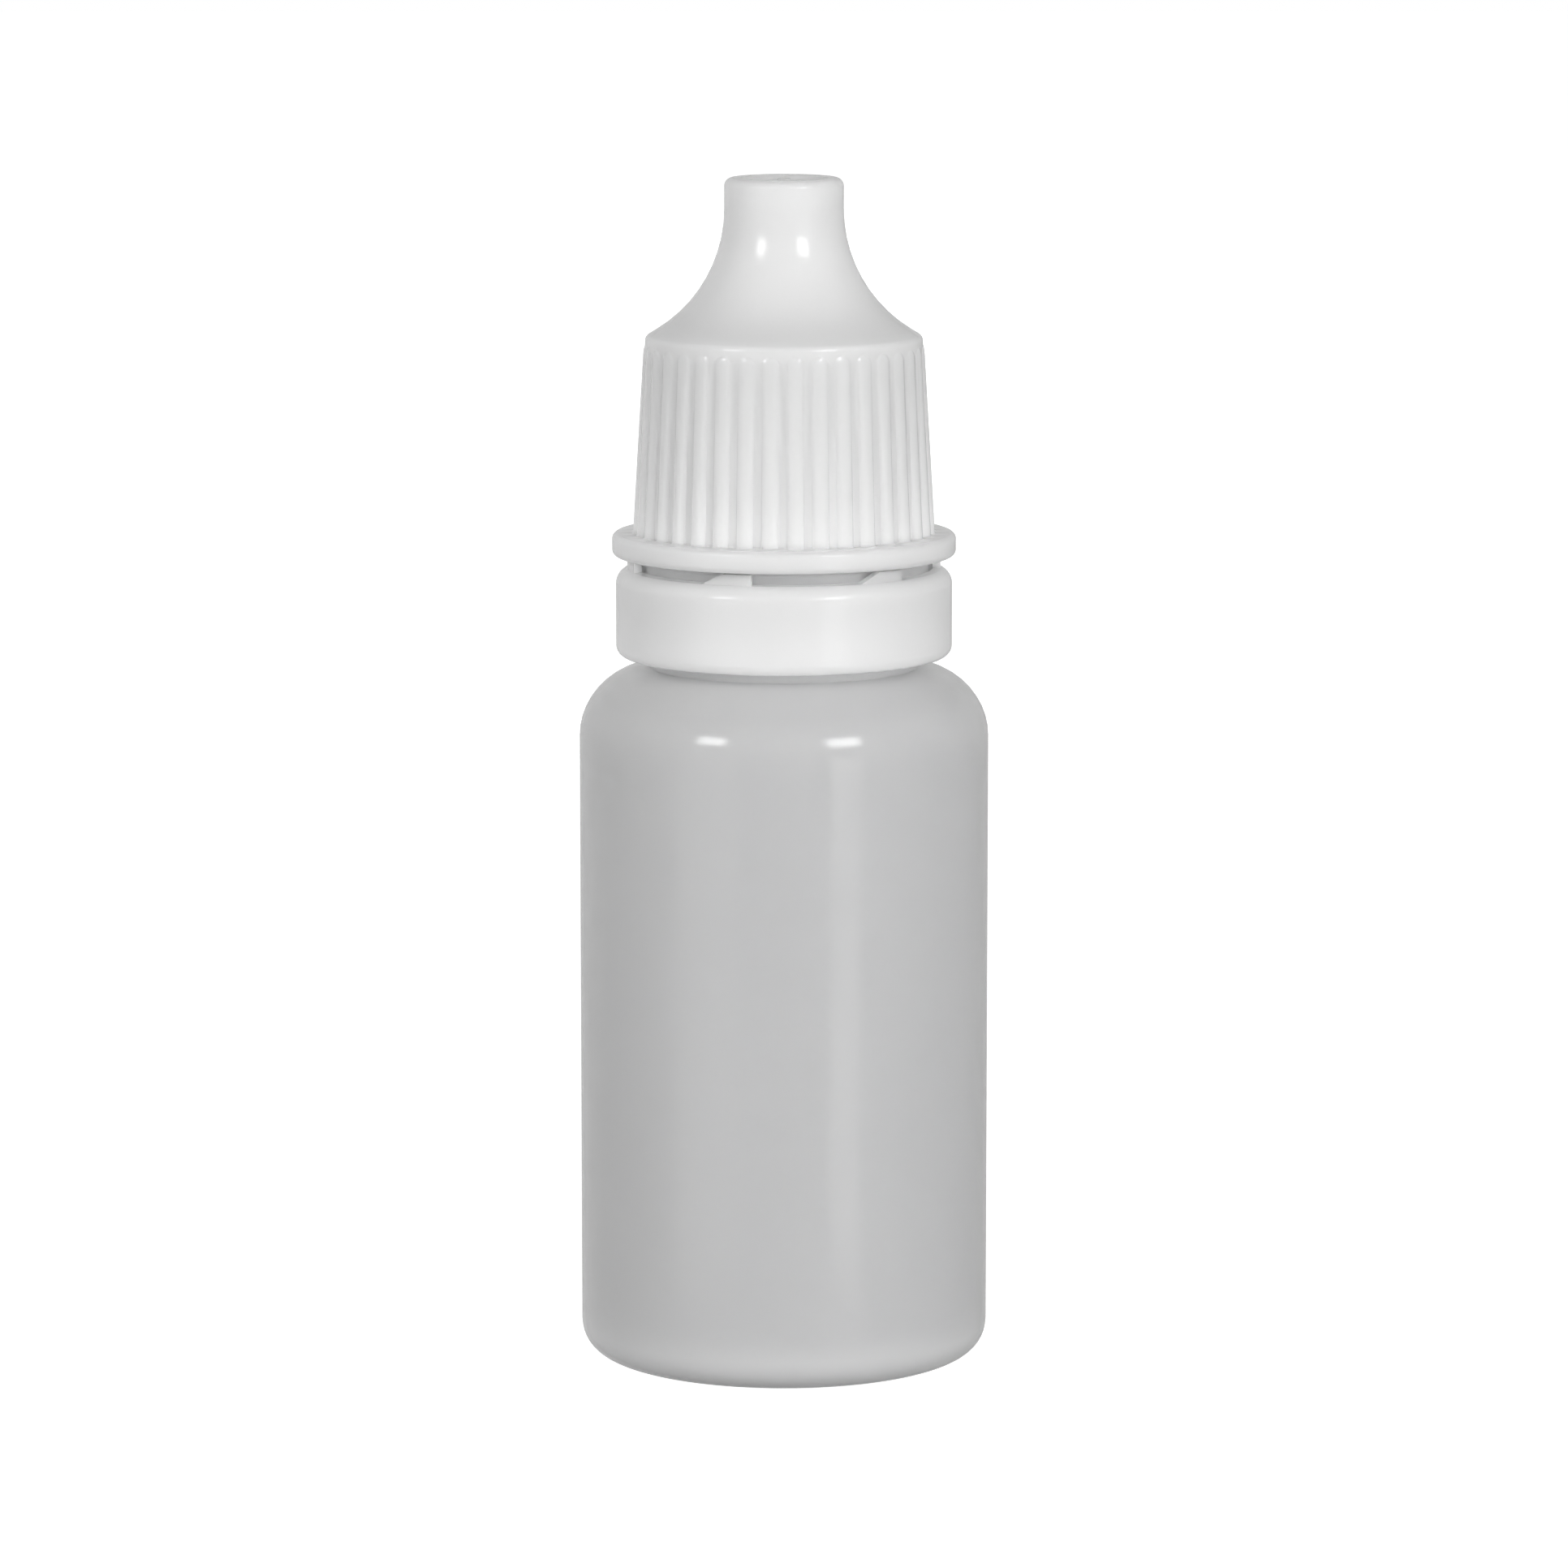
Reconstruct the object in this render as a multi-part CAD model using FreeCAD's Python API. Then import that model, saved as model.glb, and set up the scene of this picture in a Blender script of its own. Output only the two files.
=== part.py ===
import FreeCAD, Part
import math
import os

# Eye drop bottle: squeezable bottle, dropper tip pressed into its mouth, ribbed screw cap and tamper ring.
# Millimetres and degrees, +Z up, origin at the centre of the face that it stands on, front towards -Y.

# Bottle body
body_diameter = 20.36
body_wall = 0.9
shoulder_height = 34.85      # from the standing face to the flat land round the neck
shoulder_rounding = 3.5
base_corner_rounding = 1.6
base_wall = 1.1
base_inner_rounding = 1.0
base_recess_depth = 0.5
standing_ring_width = 1.6

# Neck of the bottle
mouth_diameter = 8.8
neck_wall = 1.0
neck_height = 12.15          # from the shoulder's land to the rim of the mouth
neck_foot_width = 0.48       # bevel from the shoulder up to the collar, where the tamper ring comes to rest
neck_foot_height = 0.58
collar_wall = 1.8            # thicker wall between the seat and the retaining bead
bead_projection = 1.0        # retaining bead, beyond the collar
bead_underside_height = 3.1  # above the shoulder's land
bead_land = 2.3              # tall enough to back the gap over the tamper ring
bead_crown_width = 0.6       # left between the neck and the bead's flat top
bead_crown_rise = 0.05
bead_cone_height = 0.5
neck_bore_chamfer = 0.4

# Screw thread of neck and cap
thread_pitch = 2.4
thread_depth = 0.65
thread_root_width = 1.0
thread_crest_width = 0.5
neck_thread_turns = 1.5
cap_thread_turns = 1.35
neck_thread_start_height = 1.38  # above the cap's lower edge
cap_thread_start_angle = 50.0    # from where the neck's thread starts
thread_radial_clearance = 0.25
thread_flank_clearance = 0.08
thread_root_overlap = 0.2        # how deep a thread's root is sunk into its wall

# Tamper ring
ring_wall = 0.965
ring_height = 4.42
ring_foot_rounding = 0.55
ring_top_rounding = 0.8
ring_shoulder_gap = 0.53
ring_bead_clearance = 0.2
lip_collar_clearance = 0.12
lip_bead_clearance = 0.15
lip_lead_in = 0.3
lug_count = 6
lug_height = 0.5
lug_thickness = 0.4
lug_flat_width = 1.45
lug_slope_width = 1.05
lug_first_edge_angle = -102.0    # upright edge of the first lug, anticlockwise from +X

# Cap
tear_gap = 0.62                  # between the ring's top and the cap, once the bridges are torn
flange_overhang = 0.185          # beyond the tamper ring
flange_thickness = 1.12
flange_lower_rounding = 0.3
flange_upper_rounding = 0.2
skirt_foot_wall = 0.92           # from the thread's bore to the skirt's outside, where it meets the flange
skirt_top_wall = 0.58
skirt_rise = 3.49                # from the dropper tip's flange to the skirt's top edge
skirt_top_rounding = 0.35
cone_slope = 31.4
cone_rounding = 7.03
tube_diameter = 5.92
cover_height = 7.86              # from the skirt's top edge to the top of the cap
top_edge_rounding = 0.42
rim_width = 0.81                 # round the dish in the cap's top
dish_depth = 0.3
gate_nub_diameter = 0.9
gate_nub_height = 0.26
cone_wall = 1.0
cavity_rounding = 4.0
top_wall = 0.75
bore_edge_chamfer = 0.25

# Grip ribs of the cap
rib_count = 36
rib_first_angle = -95.5
rib_width = 0.82
rib_crest_width = 0.4
rib_foot_projection = 0.22
rib_top_projection = 0.08
rib_top_margin = 0.42            # from the ribs' upper ends to the skirt's top edge
rib_field_relief = 0.015         # how far the flats between the ribs stand off the skirt's cone

# Sealing pin inside the cap and drop bowl of the tip
pin_root_diameter = 1.3
pin_end_diameter = 0.6
pin_length = 0.45
bowl_clearance = 0.08

# Dropper tip
plug_length = 4.5
plug_clearance = 0.15            # of the plug's wall in the mouth, between its sealing beads
plug_wall = 0.65
plug_lead_in = 0.4
sealing_bead_width = 0.8
sealing_bead_depth = 1.6         # of the bead's middle, below the neck's rim
tip_flange_thickness = 0.8
tip_land_width = 1.0             # of the flange, round the nozzle's foot
nozzle_clearance = 0.31          # round the nozzle's end, in the cap's tube
nozzle_cylinder_length = 6.6
nozzle_end_rounding = 0.25
nozzle_bore_diameter = 3.0
nozzle_bore_top_depth = 3.2      # of the bore's upper end, below the nozzle's end
orifice_diameter = 0.8

# Roundings are turned as narrow flats, no longer than this along the round
body_flat_length = 1.4
cap_flat_length = 2.4
cavity_flat_length = 5.0
ring_flat_length = 0.65

# How far a cut runs past the solid that it opens
overrun = 1.0

# Radii and heights worked out from the sizes above
body_radius = body_diameter / 2
mouth_radius = mouth_diameter / 2
neck_radius = mouth_radius + neck_wall
neck_top = shoulder_height + neck_height
collar_radius = mouth_radius + collar_wall
bead_radius = collar_radius + bead_projection
bead_underside = shoulder_height + bead_underside_height
bead_top = bead_underside + bead_land + bead_cone_height
neck_thread_radius = neck_radius + thread_depth

ring_bottom = shoulder_height + ring_shoulder_gap
ring_top = ring_bottom + ring_height
ring_bore_radius = bead_radius + ring_bead_clearance
ring_radius = ring_bore_radius + ring_wall
lip_radius = collar_radius + lip_collar_clearance
lip_top = bead_underside - lip_bead_clearance

cap_bottom = ring_top + tear_gap
neck_thread_start = cap_bottom + neck_thread_start_height
tip_flange_top = neck_top + tip_flange_thickness
skirt_top = tip_flange_top + skirt_rise
cap_top = skirt_top + cover_height
flange_radius = ring_radius + flange_overhang
flange_top = cap_bottom + flange_thickness
cap_bore_radius = neck_thread_radius + thread_radial_clearance
skirt_foot_radius = cap_bore_radius + skirt_foot_wall
skirt_top_radius = cap_bore_radius + skirt_top_wall
tube_radius = tube_diameter / 2
tube_bore_radius = tube_radius - cone_wall
dish_radius = tube_radius - rim_width
cap_ceiling = cap_top - dish_depth - top_wall
cone_rise = math.tan(math.radians(cone_slope))

plug_radius = mouth_radius - plug_clearance
plug_bottom = neck_top - plug_length
plug_bore_radius = plug_radius - plug_wall
nozzle_foot_radius = neck_radius - tip_land_width
nozzle_end_radius = tube_bore_radius - nozzle_clearance
orifice_radius = orifice_diameter / 2

up = FreeCAD.Vector(0, 0, 1)
origin = FreeCAD.Vector(0, 0, 0)
same_place = 1e-6


def in_section(radius, height):
    """Point of a half section: the radius lies along +X."""
    return FreeCAD.Vector(radius, 0, height)


def rounded_outline(corners, flat_length):
    """Closed wire of a half section from (radius, height, rounding) corners; tight roundings shrink."""
    places = [in_section(radius, height) for radius, height, rounding in corners]
    count = len(places)
    runs = [places[i].distanceToPoint(places[(i + 1) % count]) for i in range(count)]
    leaving = [(places[(i + 1) % count] - places[i]).normalize() for i in range(count)]
    turns = [leaving[i - 1].getAngle(leaving[i]) for i in range(count)]
    trims = [corners[i][2] * math.tan(turns[i] / 2) for i in range(count)]
    outline = []
    for i in range(count):
        room_before = runs[i - 1] / max(trims[i - 1] + trims[i], runs[i - 1])
        room_after = runs[i] / max(trims[i] + trims[(i + 1) % count], runs[i])
        trim = trims[i] * min(room_before, room_after)
        for point in rounded_corner(places[i], leaving[i - 1], leaving[i], turns[i], trim, flat_length):
            if not outline or not point.isEqual(outline[-1], same_place):
                outline.append(point)
    return Part.makePolygon(outline + outline[:1])


def rounded_corner(corner, arriving, leaving, turn, trim, flat_length):
    """Points along the round of one corner: the ends of its flats, all on one arc."""
    if trim == 0:
        return [corner]
    radius = trim / math.tan(turn / 2)
    flats = math.ceil(radius * turn / flat_length)
    towards_centre = (leaving - arriving).normalize()
    centre = corner + towards_centre * (radius / math.cos(turn / 2))
    points = []
    for flat in range(flats + 1):
        swing = turn * (flat / flats - 1 / 2)
        along = (arriving + leaving).normalize() * math.sin(swing)
        points.append(centre + (along - towards_centre * math.cos(swing)) * radius)
    return points


def turned(corners, flat_length):
    """Solid of revolution about the Z axis."""
    return Part.Face(rounded_outline(corners, flat_length)).revolve(origin, up)


def turned_by(shape, angle):
    """Copy of a shape, turned about the Z axis."""
    copy = shape.copy()
    copy.rotate(origin, up, angle)
    return copy


def thread_ridge(root_radius, crest_radius, start, turns):
    """Right-hand helical ridge, from its root outwards or inwards to its crest."""
    outwards = math.copysign(1, crest_radius - root_radius)
    sunk_radius = root_radius - outwards * thread_root_overlap
    half_root = thread_root_width / 2
    half_crest = thread_crest_width / 2
    sunk_half = half_root + (half_root - half_crest) * thread_root_overlap / thread_depth
    section = Part.makePolygon([
        in_section(sunk_radius, start - sunk_half),
        in_section(crest_radius, start - half_crest),
        in_section(crest_radius, start + half_crest),
        in_section(sunk_radius, start + sunk_half),
        in_section(sunk_radius, start - sunk_half),
    ])
    helix = Part.makeHelix(thread_pitch, thread_pitch * turns, root_radius)
    helix.translate(in_section(0, start))
    sweep = Part.BRepOffsetAPI.MakePipeShell(Part.Wire(helix.Edges))
    sweep.setFrenetMode(True)
    sweep.add(section)
    sweep.build()
    sweep.makeSolid()
    return sweep.shape()


def bottle_outer():
    """Outside of body and neck, with the seat and the bead that hold the tamper ring between them."""
    recess_radius = body_radius - base_corner_rounding - standing_ring_width
    return turned([
        (0, base_recess_depth, 0),
        (recess_radius - base_recess_depth, base_recess_depth, 0),
        (recess_radius, 0, 0),
        (body_radius, 0, base_corner_rounding),
        (body_radius, shoulder_height, shoulder_rounding),
        (collar_radius + neck_foot_width, shoulder_height, 0),
        (collar_radius, shoulder_height + neck_foot_height, 0),
        (collar_radius, bead_underside, 0),
        (bead_radius, bead_underside, 0),
        (bead_radius, bead_underside + bead_land, 0),
        (neck_radius + bead_crown_width, bead_underside + bead_land + bead_crown_rise, 0),
        (neck_radius, bead_top, 0),
        (neck_radius, neck_top, 0),
        (0, neck_top, 0),
    ], body_flat_length)


def bottle_cavity():
    """Space inside the bottle, out through the mouth."""
    floor_height = base_recess_depth + base_wall
    inner_shoulder_height = shoulder_height - body_wall
    shoulder_bevel = shoulder_rounding - body_wall
    return turned([
        (0, floor_height, 0),
        (body_radius - body_wall, floor_height, base_inner_rounding),
        (body_radius - body_wall, inner_shoulder_height - shoulder_bevel, 0),
        (body_radius - body_wall - shoulder_bevel, inner_shoulder_height, 0),
        (mouth_radius + neck_bore_chamfer, inner_shoulder_height, 0),
        (mouth_radius, inner_shoulder_height + neck_bore_chamfer, 0),
        (mouth_radius, neck_top + overrun, 0),
        (0, neck_top + overrun, 0),
    ], body_flat_length)


def make_bottle():
    """Blown body and threaded neck in one piece."""
    ridge = thread_ridge(neck_radius, neck_thread_radius, neck_thread_start, neck_thread_turns)
    return bottle_outer().cut(bottle_cavity()).fuse(ridge)


def make_dropper_tip():
    """Hollow plug with a sealing bead, flange on the neck's rim, and tapered nozzle with a drop bowl."""
    bead_middle = neck_top - sealing_bead_depth
    nozzle_bore_radius = nozzle_bore_diameter / 2
    bore_top = cap_ceiling - nozzle_bore_top_depth
    return turned([
        (plug_bore_radius, plug_bottom, 0),
        (plug_radius - plug_wall / 2, plug_bottom, 0),
        (plug_radius, plug_bottom + plug_lead_in, 0),
        (plug_radius, bead_middle - sealing_bead_width / 2, 0),
        (mouth_radius, bead_middle, 0),
        (plug_radius, bead_middle + sealing_bead_width / 2, 0),
        (plug_radius, neck_top, 0),
        (neck_radius, neck_top, 0),
        (neck_radius, tip_flange_top, 0),
        (nozzle_foot_radius, tip_flange_top, 0),
        (nozzle_end_radius, cap_ceiling - nozzle_cylinder_length, 0),
        (nozzle_end_radius, cap_ceiling, nozzle_end_rounding),
        (pin_root_diameter / 2 + bowl_clearance, cap_ceiling, 0),
        (orifice_radius, cap_ceiling - pin_length - bowl_clearance, 0),
        (orifice_radius, bore_top, 0),
        (nozzle_bore_radius, bore_top, 0),
        (nozzle_bore_radius, neck_top, 0),
        (plug_bore_radius, neck_top, 0),
    ], cap_flat_length)


def lug():
    """Ratchet lug at angle 0: upright on its anticlockwise side, with a ramp on the other."""
    outer_radius = ring_bore_radius + lug_thickness
    blank = turned([
        (ring_bore_radius, ring_top - ring_top_rounding, 0),
        (outer_radius, ring_top - ring_top_rounding, 0),
        (outer_radius, ring_top + lug_height, 0),
        (ring_bore_radius, ring_top + lug_height, 0),
    ], ring_flat_length)
    near = ring_bore_radius - overrun
    foot = ring_top - ring_top_rounding
    side = Part.makePolygon([
        FreeCAD.Vector(near, 0, foot),
        FreeCAD.Vector(near, 0, ring_top + lug_height),
        FreeCAD.Vector(near, -lug_flat_width, ring_top + lug_height),
        FreeCAD.Vector(near, -lug_flat_width - lug_slope_width, ring_top),
        FreeCAD.Vector(near, -lug_flat_width - lug_slope_width, foot),
        FreeCAD.Vector(near, 0, foot),
    ])
    across = FreeCAD.Vector(lug_thickness + overrun * 2, 0, 0)
    return blank.common(Part.Face(side).extrude(across))


def make_tamper_ring():
    """Ring with an inner lip that catches under the neck's bead, and ratchet lugs on its top."""
    ring = turned([
        (lip_radius + lip_lead_in, ring_bottom, 0),
        (ring_radius, ring_bottom, ring_foot_rounding),
        (ring_radius, ring_top, ring_top_rounding),
        (ring_bore_radius, ring_top, 0),
        (ring_bore_radius, lip_top, 0),
        (lip_radius, lip_top, 0),
        (lip_radius, ring_bottom + lip_lead_in, 0),
    ], ring_flat_length)
    first = turned_by(lug(), lug_first_edge_angle)
    lugs = [turned_by(first, i * 360 / lug_count) for i in range(lug_count)]
    return ring.fuse(lugs)


def skirt_radius(height):
    """Radius of the skirt's smooth cone at a height."""
    share = (height - flange_top) / (skirt_top - flange_top)
    return skirt_foot_radius + (skirt_top_radius - skirt_foot_radius) * share


def flat_face(points):
    """Plane face inside a closed run of points."""
    return Part.Face(Part.makePolygon(points + points[:1]))


def rib_section(height, projection):
    """Points round the skirt at a height: four for each rib, two at its foot and two on its crest."""
    valley_radius = skirt_radius(height) + rib_field_relief
    points = []
    for i in range(rib_count):
        middle = math.radians(rib_first_angle + i * 360 / rib_count)
        half_width = math.asin(rib_width / 2 / valley_radius)
        half_crest = math.asin(rib_crest_width / 2 / valley_radius)
        for angle, radius in (
            (middle - half_width, valley_radius),
            (middle - half_crest, valley_radius + projection),
            (middle + half_crest, valley_radius + projection),
            (middle + half_width, valley_radius),
        ):
            points.append(FreeCAD.Vector(radius * math.cos(angle), radius * math.sin(angle), height))
    return points


def rib_field():
    """All grip ribs as one body with flat faces, which rises from inside the flange."""
    foot = rib_section((cap_bottom + flange_top) / 2, rib_foot_projection)
    head = rib_section(skirt_top - rib_top_margin, rib_top_projection)
    count = len(foot)
    faces = [flat_face(foot), flat_face(head)]
    for i in range(count):
        after = (i + 1) % count
        faces.append(flat_face([foot[i], foot[after], head[after]]))
        faces.append(flat_face([foot[i], head[after], head[i]]))
    return Part.Solid(Part.Shell(faces)).removeSplitter()


def cap_outer():
    """Outside of the cap: flange, tapered skirt, hollow cone and tube with a dished top."""
    virtual_foot = skirt_top + (skirt_top_radius - tube_radius) * cone_rise
    nub_radius = gate_nub_diameter / 2
    dish_floor = cap_top - dish_depth
    return turned([
        (0, cap_bottom, 0),
        (flange_radius, cap_bottom, flange_lower_rounding),
        (flange_radius, flange_top, flange_upper_rounding),
        (skirt_foot_radius, flange_top, 0),
        (skirt_top_radius, skirt_top, skirt_top_rounding),
        (tube_radius, virtual_foot, cone_rounding),
        (tube_radius, cap_top, top_edge_rounding),
        (dish_radius, cap_top, 0),
        (dish_radius - dish_depth, dish_floor, 0),
        (nub_radius, dish_floor, 0),
        (nub_radius - gate_nub_height / 2, dish_floor + gate_nub_height, 0),
        (0, dish_floor + gate_nub_height, 0),
    ], cap_flat_length)


def cap_cavity():
    """Space inside the cap, with the sealing pin left standing down from its ceiling."""
    wall_drop = cone_wall / math.cos(math.radians(cone_slope))
    cavity_corner = skirt_top - wall_drop + (skirt_top_radius - cap_bore_radius) * cone_rise
    virtual_foot = cavity_corner + (cap_bore_radius - tube_bore_radius) * cone_rise
    return turned([
        (0, cap_bottom - overrun, 0),
        (cap_bore_radius + bore_edge_chamfer + overrun, cap_bottom - overrun, 0),
        (cap_bore_radius, cap_bottom + bore_edge_chamfer, 0),
        (cap_bore_radius, cavity_corner, 0),
        (tube_bore_radius, virtual_foot, cavity_rounding),
        (tube_bore_radius, cap_ceiling, 0),
        (pin_root_diameter / 2, cap_ceiling, 0),
        (pin_end_diameter / 2, cap_ceiling - pin_length, 0),
        (0, cap_ceiling - pin_length, 0),
    ], cavity_flat_length)


def make_cap():
    """Screw cap with its ribs and its internal thread, screwed home."""
    shell = cap_outer().fuse(rib_field()).cut(cap_cavity())
    overlap_share = (neck_thread_radius - cap_bore_radius + thread_depth) / thread_depth
    flank_reach = thread_crest_width + (thread_root_width - thread_crest_width) / 2 * overlap_share
    start_rise = thread_pitch * cap_thread_start_angle / 360
    start = neck_thread_start + start_rise - flank_reach - thread_flank_clearance
    ridge = thread_ridge(cap_bore_radius, cap_bore_radius - thread_depth, start, cap_thread_turns)
    return shell.fuse(turned_by(ridge, cap_thread_start_angle))


def main():
    os.makedirs("parts", exist_ok=True)
    pieces = {
        "bottle": make_bottle(),
        "dropper_tip": make_dropper_tip(),
        "tamper_ring": make_tamper_ring(),
        "cap": make_cap(),
    }
    for name, shape in pieces.items():
        shape.exportStep("parts/" + name + ".step")
        print(name, shape.isValid(), len(shape.Solids), len(shape.Faces), round(shape.Volume, 2))


main()
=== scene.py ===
import math

import bpy
from mathutils import Euler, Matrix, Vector


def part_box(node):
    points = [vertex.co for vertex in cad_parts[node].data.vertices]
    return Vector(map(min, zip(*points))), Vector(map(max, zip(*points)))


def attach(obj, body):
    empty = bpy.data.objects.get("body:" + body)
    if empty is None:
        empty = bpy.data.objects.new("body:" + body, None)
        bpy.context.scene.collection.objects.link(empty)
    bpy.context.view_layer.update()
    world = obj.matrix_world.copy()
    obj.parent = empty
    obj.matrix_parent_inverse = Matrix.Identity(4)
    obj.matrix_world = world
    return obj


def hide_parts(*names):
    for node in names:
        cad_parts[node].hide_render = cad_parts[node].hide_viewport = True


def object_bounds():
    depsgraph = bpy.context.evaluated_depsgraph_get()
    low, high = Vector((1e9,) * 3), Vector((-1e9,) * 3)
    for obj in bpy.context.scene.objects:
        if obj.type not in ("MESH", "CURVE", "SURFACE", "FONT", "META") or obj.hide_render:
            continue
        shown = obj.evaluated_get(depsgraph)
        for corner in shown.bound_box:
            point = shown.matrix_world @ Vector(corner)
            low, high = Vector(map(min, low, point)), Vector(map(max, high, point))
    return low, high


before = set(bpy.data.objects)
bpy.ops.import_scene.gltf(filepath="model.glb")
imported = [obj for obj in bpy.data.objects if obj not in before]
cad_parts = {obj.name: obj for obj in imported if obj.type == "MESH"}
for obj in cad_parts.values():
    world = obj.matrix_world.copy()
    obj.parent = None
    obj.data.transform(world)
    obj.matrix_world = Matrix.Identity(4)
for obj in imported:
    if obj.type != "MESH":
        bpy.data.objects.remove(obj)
cad_low, cad_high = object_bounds()

MM = 0.001


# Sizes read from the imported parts

bottle_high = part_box("bottle")[1]
tip_low, tip_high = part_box("dropper_tip")
ring_low, ring_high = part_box("tamper_ring")
cap_low, cap_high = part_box("cap")

body_radius = bottle_high.x
neck_top = bottle_high.z
neck_radius = tip_high.x
nozzle_top = tip_high.z
plug_bottom = tip_low.z
ring_radius = ring_high.x
ring_bottom = ring_low.z
cap_bottom = cap_low.z
cap_top = cap_high.z
flange_radius = cap_high.x


# Edge roundings and fillets that the pieces share

crisp_edge = 0.05 * MM
clean_edge = 0.08 * MM
fine_edge = 0.1 * MM
soft_edge = 0.15 * MM
small_fillet = 0.2 * MM
medium_fillet = 0.3 * MM
wide_fillet = 0.4 * MM


# Fineness of the meshes

arc_step = math.radians(9)
cap_arc_step = math.radians(6)
fewest_arc_steps = 3
straight_turn = math.radians(1)     # a corner that turns less is left without an arc
sharp_angle = math.radians(38)      # a crease of this angle or more is shaded sharp
same_place = 0.01 * MM              # sizes that are closer than this count as equal
thread_row_height = 0.1 * MM
bottle_columns = 240
tip_columns = 144
ring_columns = 216
recess_rows = 22


# Bottle

body_wall = 0.9 * MM
shoulder_drop = 12.15 * MM          # from the rim of the mouth down to the shoulder
shoulder_rounding = 3.5 * MM
base_rounding = 1.6 * MM
standing_ring_width = 1.6 * MM
recess_depth = 0.5 * MM
recess_rounding = 0.6 * MM
ridged_share = 0.9                  # of the recess's flat, where rows lie close for the pinch-off ridge
floor_thickness = 1.1 * MM
floor_rounding = 1.0 * MM
neck_wall = 1.0 * MM
neck_edge = 0.12 * MM
collar_wall = 1.8 * MM
neck_foot_width = 0.48 * MM
neck_foot_height = 0.58 * MM
bead_projection = 1.0 * MM
bead_rise = 3.1 * MM                # from the shoulder to the underside of the retaining bead
bead_land = 2.3 * MM
bead_crown_width = 0.6 * MM
bead_crown_rise = 0.05 * MM
bead_cone_height = 0.5 * MM
bead_cone_fillet = 0.25 * MM
mouth_chamfer = 0.2 * MM
parting_line_height = 0.02 * MM
parting_line_width = 0.22 * MM
pinch_off_height = 0.12 * MM
pinch_off_width = 0.5 * MM
pinch_off_length = 9.0 * MM

shoulder_height = neck_top - shoulder_drop
mouth_radius = neck_radius - neck_wall
collar_radius = mouth_radius + collar_wall
bead_radius = collar_radius + bead_projection
bead_underside = shoulder_height + bead_rise
bead_top = bead_underside + bead_land + bead_cone_height


# Screw thread

thread_pitch = 2.4 * MM
thread_depth = 0.65 * MM
thread_root_width = 1.0 * MM
thread_crest_width = 0.5 * MM
thread_taper_turns = 0.12           # over which a ridge rises from the wall at each end
neck_thread_start = cap_bottom + 1.38 * MM
neck_thread_turns = 1.5
cap_thread_turns = 1.35
cap_thread_angle = 50.0
thread_clearance = 0.25 * MM
flank_clearance = 0.08 * MM

flank_width = (thread_root_width - thread_crest_width) / 2
flank_overlap = (thread_depth - thread_clearance) / thread_depth
flank_reach = thread_crest_width + flank_width * flank_overlap
cap_thread_lead = thread_pitch * cap_thread_angle / 360
cap_thread_start = neck_thread_start + cap_thread_lead - flank_reach - flank_clearance


# Tamper ring

ring_height = 4.42 * MM
ring_wall = 0.965 * MM
ring_foot_rounding = 0.55 * MM
ring_top_rounding = 0.8 * MM
ring_top_steps = 12
lip_clearance = 0.12 * MM
lip_bead_clearance = 0.15 * MM
lip_lead_in = 0.3 * MM
lug_count = 6
lug_height = ring_high.z - ring_bottom - ring_height
lug_thickness = 0.4 * MM
lug_flat_width = 1.45 * MM
lug_slope_width = 1.05 * MM
lug_upright_half_width = 0.02 * MM
lug_first_edge_angle = math.radians(-102.0)

ring_top = ring_bottom + ring_height
ring_bore_radius = ring_radius - ring_wall
lug_radius = ring_bore_radius + lug_thickness / 2


# Cap

flange_thickness = 1.12 * MM
flange_rounding = 0.3 * MM
skirt_foot_wall = 0.92 * MM
skirt_top_wall = 0.58 * MM
cover_height = 7.86 * MM            # from the skirt's top edge to the top of the cap
skirt_top_rounding = 0.35 * MM
cap_mouth_chamfer = 0.25 * MM
cone_slope = math.radians(31.4)
cone_rounding = 7.03 * MM
cone_wall = 1.0 * MM
tube_radius = 2.96 * MM
top_edge_rounding = 0.42 * MM
rim_width = 0.81 * MM
dish_depth = 0.3 * MM
nub_radius = 0.45 * MM
nub_height = 0.26 * MM
top_wall = 0.75 * MM
cavity_rounding = 4.0 * MM
pin_root_radius = 0.65 * MM
pin_end_radius = 0.3 * MM
pin_length = 0.45 * MM
rib_count = 36
rib_first_angle = math.radians(-95.5)
rib_width = 0.86 * MM
rib_foot_projection = 0.30 * MM
rib_top_projection = 0.07 * MM
rib_top_margin = 0.42 * MM
rib_squareness = 2.6                # powers that shape a rib's cross-section
rib_fullness = 0.75
rib_dome_steps = 9
rib_bar_steps = 6
rib_column_shares = (0, 0.25, 0.5, 0.7, 0.86, 0.96, 1.0)

cap_bore_radius = neck_radius + thread_depth + thread_clearance
skirt_foot_radius = cap_bore_radius + skirt_foot_wall
skirt_top_radius = cap_bore_radius + skirt_top_wall
skirt_top = cap_top - cover_height
flange_top = cap_bottom + flange_thickness
tube_bore_radius = tube_radius - cone_wall
cap_ceiling = cap_top - dish_depth - top_wall
rib_period = math.tau / rib_count
rib_top = skirt_top - rib_top_margin
rib_dome_foot = rib_top - rib_width / 2


# Dropper tip

tip_flange_thickness = 0.8 * MM
tip_land_width = 1.0 * MM
plug_clearance = 0.15 * MM
plug_wall = 0.65 * MM
plug_lead_in = 0.4 * MM
sealing_bead_depth = 1.6 * MM
sealing_bead_width = 0.8 * MM
nozzle_clearance = 0.31 * MM
nozzle_length = 6.6 * MM
nozzle_rounding = 0.25 * MM
nozzle_foot_rounding = 4.0 * MM
nozzle_bore_radius = 1.5 * MM
nozzle_bore_depth = 3.2 * MM
orifice_radius = 0.4 * MM
bowl_clearance = 0.08 * MM


# Lathe: a rounded half section, turned about the Z axis

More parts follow.
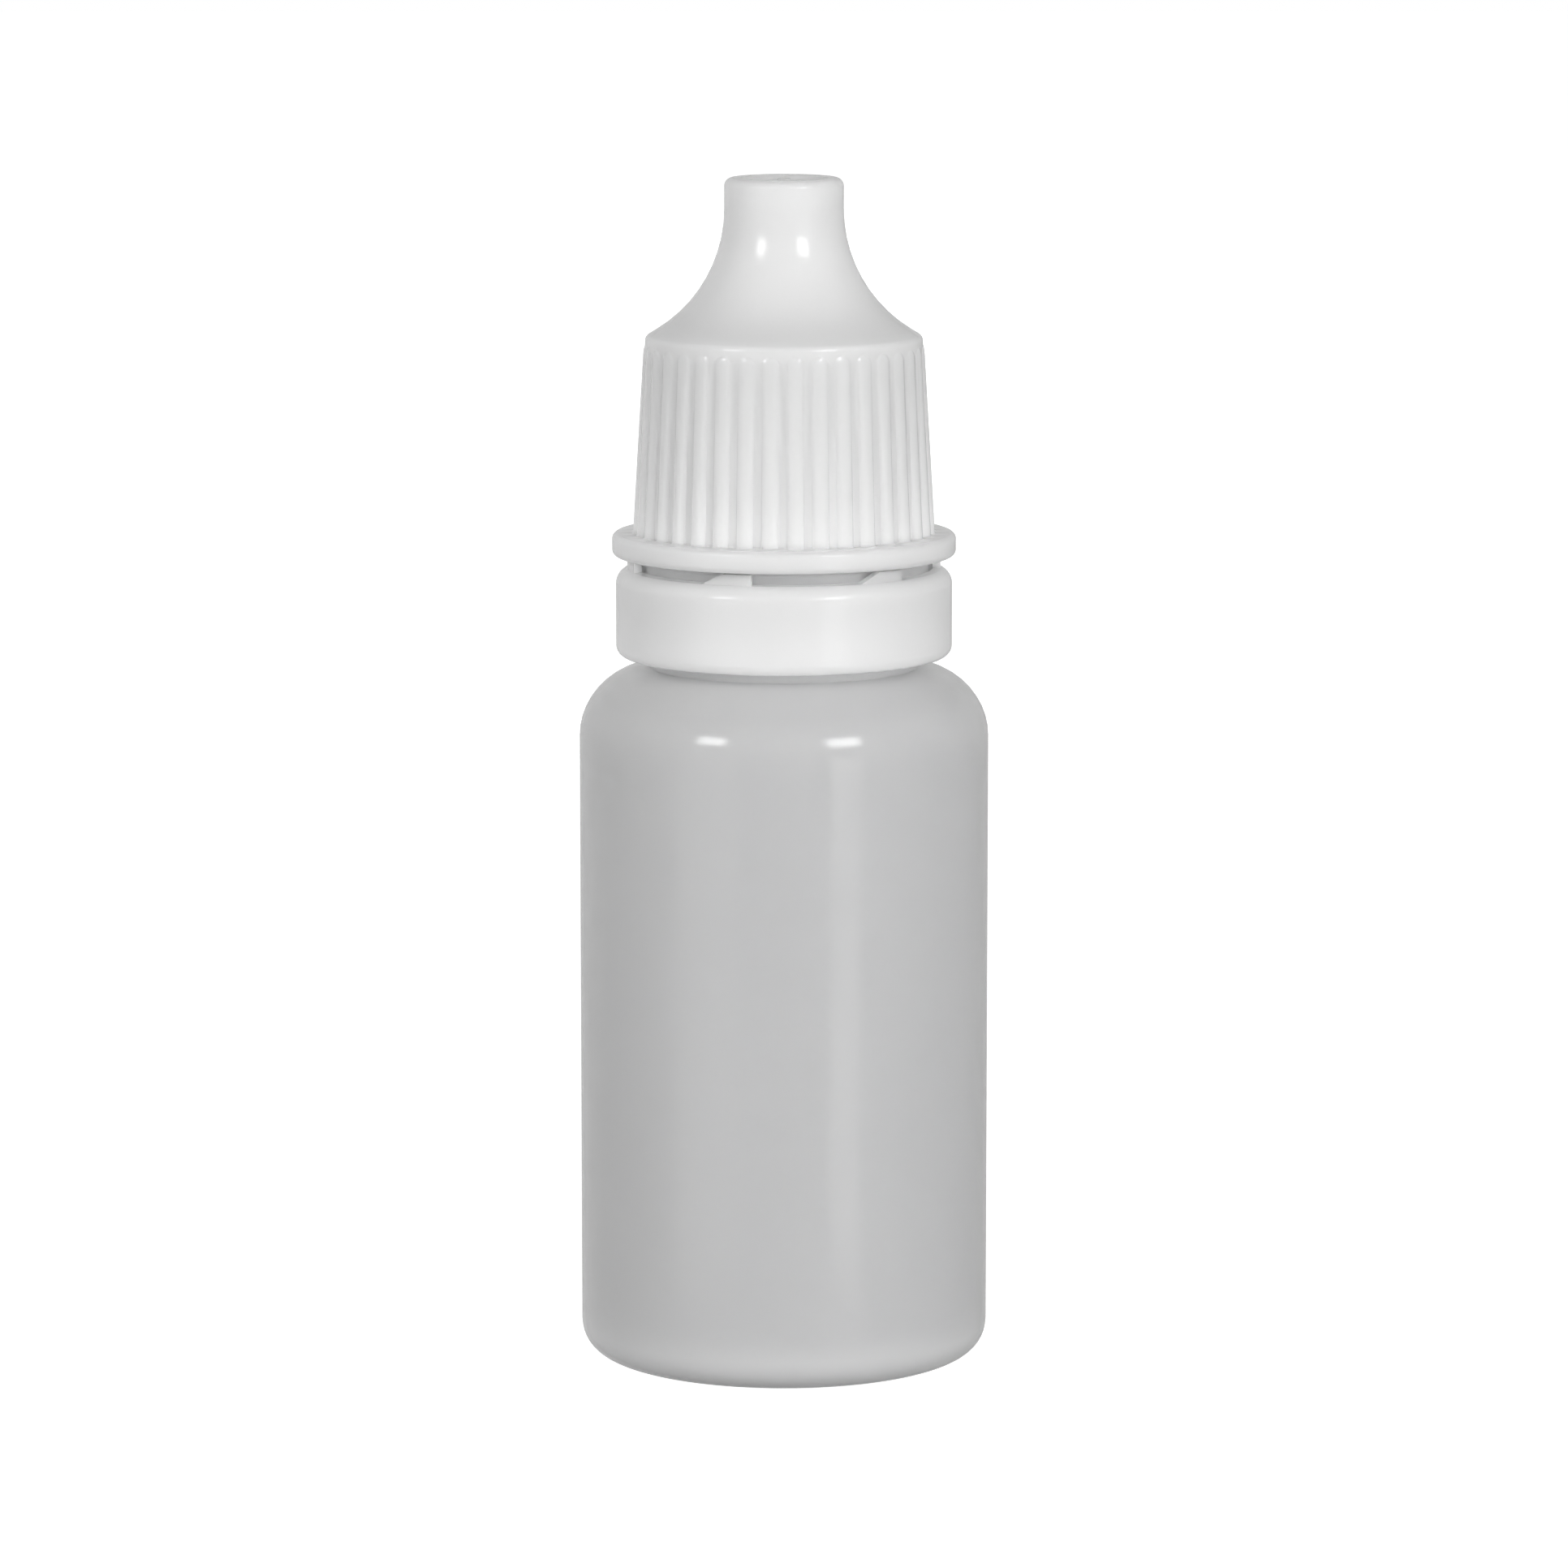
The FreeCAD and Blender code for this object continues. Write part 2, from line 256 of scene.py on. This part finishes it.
def rounded(corners, step=arc_step):
    """Points of a half section from (radius, height, rounding) corners, each rounding a true arc."""
    places = [Vector((r, z)) for r, z, _ in corners]
    points = [places[0]]
    for i in range(1, len(corners) - 1):
        arriving = (places[i] - places[i - 1]).normalized()
        leaving = (places[i + 1] - places[i]).normalized()
        turn = arriving.angle(leaving)
        rounding = corners[i][2]
        if rounding == 0 or turn < straight_turn:
            points.append(places[i])
            continue
        towards_centre = (leaving - arriving).normalized()
        centre = places[i] + towards_centre * rounding / math.cos(turn / 2)
        middle = (arriving + leaving).normalized()
        count = max(fewest_arc_steps, math.ceil(turn / step))
        for k in range(count + 1):
            swing = turn * (k / count - 0.5)
            points.append(centre + (middle * math.sin(swing) - towards_centre * math.cos(swing)) * rounding)
    points.append(places[-1])
    return points


def subdivided(points, low, high, spacing):
    """The same half section, with rows no further apart than a spacing between two heights."""
    result = [points[0]]
    for before, after in zip(points, points[1:]):
        if low <= (before.y + after.y) / 2 <= high:
            rows = max(1, math.ceil(abs(after.y - before.y) / spacing))
            for k in range(1, rows):
                result.append(before.lerp(after, k / rows))
        result.append(after)
    return result


def lathe(name, points, angles, place=None, closed=False):
    """Mesh object of revolution. place(radius, height, angle) may shift a point; radius 0 is one pole."""
    vertices = []
    rows = []
    for radius, height in points:
        if radius == 0:
            rows.append([len(vertices)] * len(angles))
            vertices.append((0, 0, height))
            continue
        rows.append(list(range(len(vertices), len(vertices) + len(angles))))
        for angle in angles:
            r, z = place(radius, height, angle) if place else (radius, height)
            vertices.append((r * math.cos(angle), r * math.sin(angle), z))
    faces = []
    pairs = list(zip(rows, rows[1:]))
    if closed:
        pairs.append((rows[-1], rows[0]))
    for lower, upper in pairs:
        for j in range(len(angles)):
            after = (j + 1) % len(angles)
            corners = [lower[j], lower[after], upper[after], upper[j]]
            faces.append(list(dict.fromkeys(corners)))
    mesh = bpy.data.meshes.new(name)
    mesh.from_pydata(vertices, [], faces)
    mesh.validate()
    mesh.shade_smooth()
    mesh.set_sharp_from_angle(angle=sharp_angle)
    piece = bpy.data.objects.new(name, mesh)
    bpy.context.scene.collection.objects.link(piece)
    return piece


def even_angles(count):
    """Angles round the whole turn, in radians."""
    return [math.tau * i / count for i in range(count)]


def smooth_step(value):
    """0 to 1 with level ends."""
    value = min(max(value, 0.0), 1.0)
    return value * value * (3 - 2 * value)


def ridge_height(height, angle, start_height, start_angle, turns):
    """How far a right-hand thread's ridge stands off its wall, as a share of its depth."""
    best = 0.0
    turned = ((angle - start_angle) / math.tau) % 1.0
    while turned <= turns:
        away = abs(height - start_height - thread_pitch * turned)
        share = min(max((thread_root_width / 2 - away) / flank_width, 0.0), 1.0)
        taper = smooth_step(turned / thread_taper_turns) * smooth_step((turns - turned) / thread_taper_turns)
        best = max(best, share * taper)
        turned += 1.0
    return best


# Bottle: hollow body, shoulder, seat, bead and threaded neck

def bottle_angles():
    """Columns of the bottle: evenly spaced, with extra ones where the mould's halves met."""
    angles = even_angles(bottle_columns)
    for side in (0, math.pi):
        for quarter in range(-7, 8, 2):
            angles.append((side + math.tau / bottle_columns * quarter / 4) % math.tau)
    return sorted(angles)


def make_bottle():
    recess_radius = body_radius - base_rounding - standing_ring_width
    inner_top = shoulder_height - body_wall
    inner_rounding = shoulder_rounding - body_wall
    floor = recess_depth + floor_thickness
    recess_flat = recess_radius - recess_depth
    ridged_flat = recess_flat * ridged_share
    outline = [Vector((ridged_flat * k / recess_rows, recess_depth)) for k in range(recess_rows)]
    outline += rounded([
        (ridged_flat, recess_depth, 0),
        (recess_flat, recess_depth, recess_rounding),
        (recess_radius, 0, medium_fillet),
        (body_radius, 0, base_rounding),
        (body_radius, shoulder_height, shoulder_rounding),
        (collar_radius + neck_foot_width, shoulder_height, neck_edge),
        (collar_radius, shoulder_height + neck_foot_height, medium_fillet),
        (collar_radius, bead_underside, crisp_edge),
        (bead_radius, bead_underside, fine_edge),
        (bead_radius, bead_underside + bead_land, soft_edge),
        (neck_radius + bead_crown_width, bead_underside + bead_land + bead_crown_rise, fine_edge),
        (neck_radius, bead_top, bead_cone_fillet),
        (neck_radius, neck_top, neck_edge),
        (mouth_radius + mouth_chamfer, neck_top, crisp_edge),
        (mouth_radius, neck_top - mouth_chamfer, fine_edge),
        (mouth_radius, inner_top, wide_fillet),
        (body_radius - body_wall, inner_top, inner_rounding),
        (body_radius - body_wall, floor, floor_rounding),
        (0, floor, 0),
    ])
    thread_low = neck_thread_start - thread_root_width
    thread_high = neck_thread_start + thread_pitch * neck_thread_turns + thread_root_width
    outline = subdivided(outline, thread_low, thread_high, thread_row_height)

    def place(radius, height, angle):
        """Raises the thread, the parting line on the sides and the pinch-off ridge in the recess."""
        on_neck = abs(radius - neck_radius) < same_place and bead_top < height < neck_top
        if on_neck:
            share = ridge_height(height, angle, neck_thread_start, 0.0, neck_thread_turns)
            radius += share * thread_depth
        elif radius > body_radius - base_rounding and height > 0:
            across = radius * math.sin(angle) / (parting_line_width / 2)
            radius += parting_line_height * math.exp(-across * across)
        elif radius < recess_flat and height < recess_depth + same_place:
            along = abs(radius * math.cos(angle))
            across = radius * math.sin(angle) / (pinch_off_width / 2)
            ends = smooth_step((pinch_off_length / 2 - along) / pinch_off_width)
            height -= pinch_off_height * ends * math.exp(-across ** 4)
        return radius, height

    return lathe("squeeze_bottle", outline, bottle_angles(), place)


# Dropper tip: plug, flange and nozzle

def make_dropper_tip():
    plug_radius = mouth_radius - plug_clearance
    plug_bore_radius = plug_radius - plug_wall
    tip_flange_top = neck_top + tip_flange_thickness
    bead_middle = neck_top - sealing_bead_depth
    nozzle_radius = tube_bore_radius - nozzle_clearance
    bore_top = nozzle_top - nozzle_bore_depth
    outline = rounded([
        (plug_bore_radius, plug_bottom, 0),
        (plug_radius - plug_wall / 2, plug_bottom, clean_edge),
        (plug_radius, plug_bottom + plug_lead_in, medium_fillet),
        (plug_radius, bead_middle - sealing_bead_width / 2, small_fillet),
        (mouth_radius, bead_middle, medium_fillet),
        (plug_radius, bead_middle + sealing_bead_width / 2, small_fillet),
        (plug_radius, neck_top, crisp_edge),
        (neck_radius, neck_top, fine_edge),
        (neck_radius, tip_flange_top, soft_edge),
        (neck_radius - tip_land_width, tip_flange_top, wide_fillet),
        (nozzle_radius, nozzle_top - nozzle_length, nozzle_foot_rounding),
        (nozzle_radius, nozzle_top, nozzle_rounding),
        (pin_root_radius + bowl_clearance, nozzle_top, clean_edge),
        (orifice_radius, nozzle_top - pin_length - bowl_clearance, fine_edge),
        (orifice_radius, bore_top, crisp_edge),
        (nozzle_bore_radius, bore_top, medium_fillet),
        (nozzle_bore_radius, neck_top, small_fillet),
        (plug_bore_radius, neck_top, wide_fillet),
        (plug_bore_radius, plug_bottom, 0),
    ])
    return lathe("dropper_plug", outline[:-1], even_angles(tip_columns), closed=True)


# Tamper ring: rounded band with an inner lip and ratchet lugs

def lug_share(angle):
    """Height of the ring's lugs at an angle, as a share of the full lug."""
    behind = ((lug_first_edge_angle - angle) % (math.tau / lug_count)) * lug_radius
    if behind <= lug_flat_width:
        return 1.0
    return max(0.0, 1 - (behind - lug_flat_width) / lug_slope_width)


def ring_angles():
    """Columns of the ring: evenly spaced, with extra ones at each lug's upright side and slope."""
    half_upright = lug_upright_half_width / lug_radius
    angles = even_angles(ring_columns)
    for i in range(lug_count):
        upright = lug_first_edge_angle + math.tau * i / lug_count
        crest_end = upright - lug_flat_width / lug_radius
        slope_end = crest_end - lug_slope_width / lug_radius
        for angle in (upright + half_upright, upright - half_upright, crest_end, slope_end):
            angles.append(angle % math.tau)
    return sorted(angles)


def make_tamper_ring():
    lip_radius = collar_radius + lip_clearance
    lip_top = bead_underside - lip_bead_clearance
    face_radius = ring_bore_radius + lug_thickness
    centre = Vector((ring_radius - ring_top_rounding, ring_top - ring_top_rounding))
    end = math.acos(max(0.0, face_radius - centre.x) / ring_top_rounding)
    outline = rounded([
        (lip_radius, lip_top, 0),
        (lip_radius, ring_bottom + lip_lead_in, soft_edge),
        (lip_radius + lip_lead_in, ring_bottom, fine_edge),
        (ring_radius, ring_bottom, ring_foot_rounding),
        (ring_radius, centre.y, 0),
    ])
    for k in range(1, ring_top_steps + 1):
        turn = end * k / ring_top_steps
        outline.append(centre + Vector((math.cos(turn), math.sin(turn))) * ring_top_rounding)
    lug_foot = outline[-1].y
    raised = {len(outline): lug_foot, len(outline) + 1: ring_top}
    outline.append(Vector((face_radius, lug_foot)))
    outline.append(Vector((ring_bore_radius, ring_top)))
    outline += rounded([
        (ring_bore_radius, ring_top - lug_height, 0),
        (ring_bore_radius, lip_top, fine_edge),
        (lip_radius, lip_top, 0),
    ])
    columns = ring_angles()
    piece = lathe("tamper_band", outline[:-1], columns, closed=True)
    for row, base in raised.items():
        for j, angle in enumerate(columns):
            vertex = piece.data.vertices[row * len(columns) + j]
            vertex.co.z = base + (ring_top + lug_height - base) * lug_share(angle)
    piece.data.update()
    piece.data.set_sharp_from_angle(angle=sharp_angle)
    return piece


# Cap: flange, ribbed skirt, hollow cone and tube with a dished top

def skirt_radius(height):
    """Radius of the skirt's smooth cone at a height."""
    share = (height - flange_top) / (skirt_top - flange_top)
    return skirt_foot_radius + (skirt_top_radius - skirt_foot_radius) * share


def rib_projection(height, angle):
    """How far the grip ribs stand off the skirt: rounded bars with domed upper ends."""
    around = ((angle - rib_first_angle + rib_period / 2) % rib_period) - rib_period / 2
    across = around * skirt_radius(height)
    beyond = max(0.0, height - rib_dome_foot)
    away = math.hypot(across, beyond) / (rib_width / 2)
    if away >= 1:
        return 0.0
    rise = (height - flange_top) / (rib_top - flange_top)
    full = rib_foot_projection + (rib_top_projection - rib_foot_projection) * rise
    return full * (1 - away ** rib_squareness) ** rib_fullness


def rib_rows():
    """Points down the skirt's flank from the ribs' upper ends, closest together in their domes."""
    heights = []
    for k in range(rib_dome_steps + 1):
        sunk = 1 - math.cos(math.pi / 2 * k / rib_dome_steps)
        heights.append(rib_top - rib_width / 2 * sunk)
    bar_foot = flange_top + fine_edge
    for k in range(1, rib_bar_steps):
        heights.append(rib_dome_foot + (bar_foot - rib_dome_foot) * k / rib_bar_steps)
    return [Vector((skirt_radius(height), height)) for height in heights]


def cap_angles():
    """Columns of the cap: closest where each rib meets the skirt."""
    half = rib_width / 2 / skirt_foot_radius
    one_side = [half * share for share in rib_column_shares]
    other_side = [-column for column in reversed(one_side[1:])]
    columns = other_side + one_side + [rib_period / 2]
    angles = []
    for i in range(rib_count):
        for column in columns:
            angles.append((rib_first_angle + rib_period * i + column) % math.tau)
    return sorted(angles)


def make_cap():
    virtual_foot = skirt_top + (skirt_top_radius - tube_radius) * math.tan(cone_slope)
    dish_floor = cap_top - dish_depth
    dish_radius = tube_radius - rim_width
    cavity_corner = (
        skirt_top
        - cone_wall / math.cos(cone_slope)
        + (skirt_top_radius - cap_bore_radius) * math.tan(cone_slope)
    )
    inner_foot = cavity_corner + (cap_bore_radius - tube_bore_radius) * math.tan(cone_slope)
    outline = rounded([
        (0, dish_floor + nub_height, 0),
        (nub_radius - nub_height / 2, dish_floor + nub_height, fine_edge),
        (nub_radius, dish_floor, clean_edge),
        (dish_radius - dish_depth, dish_floor, soft_edge),
        (dish_radius, cap_top, soft_edge),
        (tube_radius, cap_top, top_edge_rounding),
        (tube_radius, virtual_foot, cone_rounding),
        (skirt_top_radius, skirt_top, skirt_top_rounding),
        (skirt_foot_radius, flange_top, fine_edge),
        (flange_radius, flange_top, flange_rounding),
        (flange_radius, cap_bottom, flange_rounding),
        (cap_bore_radius + cap_mouth_chamfer, cap_bottom, fine_edge),
        (cap_bore_radius, cap_bottom + cap_mouth_chamfer, fine_edge),
        (cap_bore_radius, cavity_corner, medium_fillet),
        (tube_bore_radius, inner_foot, cavity_rounding),
        (tube_bore_radius, cap_ceiling, soft_edge),
        (pin_root_radius, cap_ceiling, clean_edge),
        (pin_end_radius, cap_ceiling - pin_length, clean_edge),
        (0, cap_ceiling - pin_length, 0),
    ], step=cap_arc_step)

    section = []
    for before, after in zip(outline, outline[1:]):
        section.append(before)
        if before.y > rib_top > after.y:
            section += rib_rows()
    section.append(outline[-1])

    start_angle = math.radians(cap_thread_angle)
    thread_high = cap_thread_start + thread_pitch * cap_thread_turns + thread_root_width
    lowest = min(point.y for point in section)
    mouth = max(i for i, point in enumerate(section) if point.y == lowest)
    bore = subdivided(section[mouth:], cap_bottom, thread_high, thread_row_height)
    bore_points = {(point.x, point.y) for point in bore}
    fillet_end = skirt_foot_radius + fine_edge + same_place

    def place(radius, height, angle):
        """Raises the thread inside and the ribs outside."""
        if (radius, height) in bore_points:
            if abs(radius - cap_bore_radius) < same_place:
                share = ridge_height(height, angle, cap_thread_start, start_angle, cap_thread_turns)
                radius -= thread_depth * share
        elif flange_top <= height < skirt_top and radius < fillet_end:
            radius += rib_projection(height, angle)
        return radius, height

    return lathe("screw_cap", section[:mouth] + bore, cap_angles(), place)


# Materials: the two tones a surface drifts between, its roughness, and how deep light scatters in it

cap_tones = ((0.92, 0.92, 0.92), (0.94, 0.94, 0.94))
cap_roughness = (0.14, 0.18)
cap_scatter = 1.5 * MM
body_tones = ((0.765, 0.768, 0.775), (0.80, 0.803, 0.81))
body_roughness = (0.12, 0.16)
body_scatter = 4.0 * MM
# The neck's whiter tone is partly the thick wall's own colour and partly painted light, lifting the shade in
# the gap under the cap and under the ring.
neck_painted_light_tone = (0.985, 0.986, 0.988)
neck_painted_light_drop = 1.6 * MM           # below the shoulder, where the whitening and painted light of the neck start
tip_tones = ((0.88, 0.885, 0.89), (0.90, 0.905, 0.91))
tip_roughness = (0.30, 0.40)
tip_scatter = 3.0 * MM
polypropylene_ior = 1.49
polyethylene_ior = 1.51
noise_detail = 3.0
noise_roughness = 0.5
noise_range = (0.1, 0.9)            # that nearly all of the noise lies in


def plastic(name, ior, scatter):
    """Material with scatter under its surface, its tree and shader, and the object's own coordinates."""
    material = bpy.data.materials.new(name)
    material.use_nodes = True
    tree = material.node_tree
    shader = tree.nodes["Principled BSDF"]
    shader.inputs["IOR"].default_value = ior
    shader.inputs["Subsurface Weight"].default_value = 1.0
    shader.inputs["Subsurface Radius"].default_value = (1.0, 1.0, 1.0)
    shader.inputs["Subsurface Scale"].default_value = scatter
    place = tree.nodes.new("ShaderNodeTexCoord")
    return material, tree, shader, place.outputs["Object"]


def noise(tree, where, scale):
    node = tree.nodes.new("ShaderNodeTexNoise")
    node.inputs["Scale"].default_value = scale
    node.inputs["Detail"].default_value = noise_detail
    node.inputs["Roughness"].default_value = noise_roughness
    tree.links.new(where, node.inputs["Vector"])
    return node.outputs["Fac"]


def uneven(tree, where, scale, limits):
    """A value that drifts over the surface between two limits."""
    node = tree.nodes.new("ShaderNodeMapRange")
    node.inputs["From Min"].default_value = noise_range[0]
    node.inputs["From Max"].default_value = noise_range[1]
    node.inputs["To Min"].default_value = limits[0]
    node.inputs["To Max"].default_value = limits[1]
    tree.links.new(noise(tree, where, scale), node.inputs["Value"])
    return node.outputs["Result"]


def clouded(tree, where, scale, tones):
    """A colour that drifts over the surface between two tones."""
    node = tree.nodes.new("ShaderNodeMix")
    node.data_type = "RGBA"
    node.inputs["A"].default_value = (*tones[0], 1)
    node.inputs["B"].default_value = (*tones[1], 1)
    tree.links.new(uneven(tree, where, scale, (0, 1)), node.inputs["Factor"])
    return node.outputs["Result"]


def bump(tree, shader, height, distance, strength):
    node = tree.nodes.new("ShaderNodeBump")
    node.inputs["Distance"].default_value = distance
    node.inputs["Strength"].default_value = strength
    tree.links.new(height, node.inputs["Height"])
    tree.links.new(node.outputs["Normal"], shader.inputs["Normal"])


def neck_with_painted_light(tree, where, body_colour):
    """The body's colour, whiter from its shoulder up: partly the thick wall's own tone, partly painted light
    that lifts the shade under the ring and the cap.
    """
    height = tree.nodes.new("ShaderNodeSeparateXYZ")
    tree.links.new(where, height.inputs["Vector"])
    rise = tree.nodes.new("ShaderNodeMapRange")
    rise.interpolation_type = "SMOOTHSTEP"
    rise.inputs["From Min"].default_value = shoulder_height - neck_painted_light_drop
    rise.inputs["From Max"].default_value = shoulder_height + neck_foot_height
    tree.links.new(height.outputs["Z"], rise.inputs["Value"])
    colour = tree.nodes.new("ShaderNodeMix")
    colour.data_type = "RGBA"
    colour.inputs["B"].default_value = (*neck_painted_light_tone, 1)
    tree.links.new(body_colour, colour.inputs["A"])
    tree.links.new(rise.outputs["Result"], colour.inputs["Factor"])
    return colour.outputs["Result"]


def cap_plastic():
    """Satin-glossy white moulded polypropylene."""
    material, tree, shader, where = plastic("white_moulded_plastic", polypropylene_ior, cap_scatter)
    colour = clouded(tree, where, scale=260, tones=cap_tones)
    tree.links.new(colour, shader.inputs["Base Color"])
    roughness = uneven(tree, where, scale=900, limits=cap_roughness)
    tree.links.new(roughness, shader.inputs["Roughness"])
    bump(tree, shader, noise(tree, where, scale=1400), distance=0.01 * MM, strength=0.35)
    return material


def milky_plastic():
    """Milky, slightly translucent blow-moulded polyethylene."""
    material, tree, shader, where = plastic("milky_blown_plastic", polyethylene_ior, body_scatter)
    # the neck's whitening is partly painted light in the shade under the ring and the cap
    colour = neck_with_painted_light(tree, where, clouded(tree, where, scale=120, tones=body_tones))
    tree.links.new(colour, shader.inputs["Base Color"])
    roughness = uneven(tree, where, scale=500, limits=body_roughness)
    tree.links.new(roughness, shader.inputs["Roughness"])
    bump(tree, shader, noise(tree, where, scale=450), distance=0.02 * MM, strength=0.3)
    return material


def tip_plastic():
    """Natural polyethylene of the dropper tip."""
    material, tree, shader, where = plastic("tip_plastic", polyethylene_ior, tip_scatter)
    colour = clouded(tree, where, scale=300, tones=tip_tones)
    tree.links.new(colour, shader.inputs["Base Color"])
    roughness = uneven(tree, where, scale=900, limits=tip_roughness)
    tree.links.new(roughness, shader.inputs["Roughness"])
    return material


# Studio: metres, watts, degrees for the lights, and millimetres for lens and sensor

floor_size = 3.0
floor_tone = 0.3
floor_glow = 0.95
ambient_level = 0.19
ambient_slope = (-0.12, 0.34, 0)    # more light comes from behind and from the left
light_aim_share = 0.6               # of the bottle's height
camera_place = (0, -0.353155, 0.083102)
camera_tilt = math.radians(90 - 8.7325)
camera_lens = 164.08
camera_sensor = 36
camera_near = 0.01
camera_far = 20


def make_floor():
    """Pale floor that is seen, but neither mirrored in the bottle nor lighting it."""
    mesh = bpy.data.meshes.new("studio_floor")
    half = floor_size / 2
    corners = [(-half, -half, 0), (half, -half, 0), (half, half, 0), (-half, half, 0)]
    mesh.from_pydata(corners, [], [(0, 1, 2, 3)])
    floor = bpy.data.objects.new("studio_floor", mesh)
    bpy.context.scene.collection.objects.link(floor)
    material = bpy.data.materials.new("studio_floor")
    material.use_nodes = True
    shader = material.node_tree.nodes["Principled BSDF"]
    shader.inputs["Base Color"].default_value = (floor_tone, floor_tone, floor_tone, 1)
    shader.inputs["Roughness"].default_value = 1.0
    shader.inputs["Specular IOR Level"].default_value = 0.0
    shader.inputs["Emission Color"].default_value = (1, 1, 1, 1)
    shader.inputs["Emission Strength"].default_value = floor_glow
    mesh.materials.append(material)
    floor.visible_glossy = False
    floor.visible_diffuse = False


def softbox(name, azimuth, elevation, distance, width, height, power, mirrored=True):
    """Area light aimed at the bottle: azimuth 0 stands in front, positive to the right."""
    data = bpy.data.lights.new(name, "AREA")
    data.shape = "RECTANGLE"
    data.size = width
    data.size_y = height
    data.energy = power
    light = bpy.data.objects.new(name, data)
    a = math.radians(azimuth)
    e = math.radians(elevation)
    aim = Vector((0, 0, cad_high.z * light_aim_share))
    direction = Vector((math.sin(a) * math.cos(e), -math.cos(a) * math.cos(e), math.sin(e)))
    light.location = aim + direction * distance
    light.rotation_euler = direction.to_track_quat("Z", "Y").to_euler()
    light.visible_glossy = mirrored
    bpy.context.scene.collection.objects.link(light)


def make_world():
    """White backdrop to the camera, and a soft, sloping ambient light to everything else."""
    world = bpy.data.worlds.new("studio")
    world.use_nodes = True
    tree = world.node_tree
    background = tree.nodes["Background"]
    towards = tree.nodes.new("ShaderNodeTexCoord")
    slope = tree.nodes.new("ShaderNodeVectorMath")
    slope.operation = "DOT_PRODUCT"
    slope.inputs[1].default_value = ambient_slope
    shade = tree.nodes.new("ShaderNodeMath")
    shade.use_clamp = True
    shade.inputs[1].default_value = ambient_level
    tree.links.new(towards.outputs["Generated"], slope.inputs[0])
    tree.links.new(slope.outputs["Value"], shade.inputs[0])
    tree.links.new(shade.outputs["Value"], background.inputs["Color"])
    seen = tree.nodes.new("ShaderNodeBackground")
    seen.inputs["Color"].default_value = (1, 1, 1, 1)
    path = tree.nodes.new("ShaderNodeLightPath")
    choice = tree.nodes.new("ShaderNodeMixShader")
    tree.links.new(path.outputs["Is Camera Ray"], choice.inputs["Fac"])
    tree.links.new(background.outputs["Background"], choice.inputs[1])
    tree.links.new(seen.outputs["Background"], choice.inputs[2])
    tree.links.new(choice.outputs["Shader"], tree.nodes["World Output"].inputs["Surface"])
    bpy.context.scene.world = world


def make_camera():
    data = bpy.data.cameras.new("camera")
    data.lens = camera_lens
    data.sensor_width = camera_sensor
    data.clip_start = camera_near
    data.clip_end = camera_far
    camera = bpy.data.objects.new("camera", data)
    camera.location = camera_place
    camera.rotation_euler = Euler((camera_tilt, 0, 0))
    bpy.context.scene.collection.objects.link(camera)
    bpy.context.scene.camera = camera


def dress(piece, material, body, node):
    """Finishes a piece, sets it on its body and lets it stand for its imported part."""
    piece.data.materials.append(material)
    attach(piece, body)
    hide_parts(node)


white = cap_plastic()
dress(make_bottle(), milky_plastic(), "bottle_body", "bottle")
dress(make_dropper_tip(), tip_plastic(), "bottle_body", "dropper_tip")
dress(make_tamper_ring(), white, "ring_body", "tamper_ring")
dress(make_cap(), white, "cap_body", "cap")

make_camera()
make_world()
make_floor()

# Each light's azimuth, elevation, distance, width, height and power
softbox("key_right", 35.6, 23.5, 0.6, 0.19, 0.137, 0.73)
softbox("key_left", -43, 23.5, 0.6, 0.165, 0.116, 0.54)
softbox("front_fill", 16, 4, 0.8, 0.8, 0.3, 4.4, mirrored=False)
softbox("front_right", 42, 4, 0.8, 0.5, 0.3, 0.7, mirrored=False)
softbox("side_right", 80, 5, 0.8, 0.6, 0.3, 0.35, mirrored=False)
softbox("side_left", -85, 5, 0.8, 0.6, 0.3, 1.4, mirrored=False)
softbox("back_right", 155, 10, 0.8, 0.5, 0.3, 2.0, mirrored=False)
softbox("back_left", -155, 10, 0.8, 0.5, 0.3, 2.0, mirrored=False)
softbox("strip_right", 34.5, -10, 0.3, 0.09, 0.12, 0.042)
softbox("strip_left", -44, -10, 0.3, 0.2, 0.12, 0.05)

bpy.context.scene.view_settings.view_transform = "Standard"
bpy.context.scene.cycles.max_bounces = 32
bpy.context.scene.cycles.diffuse_bounces = 24
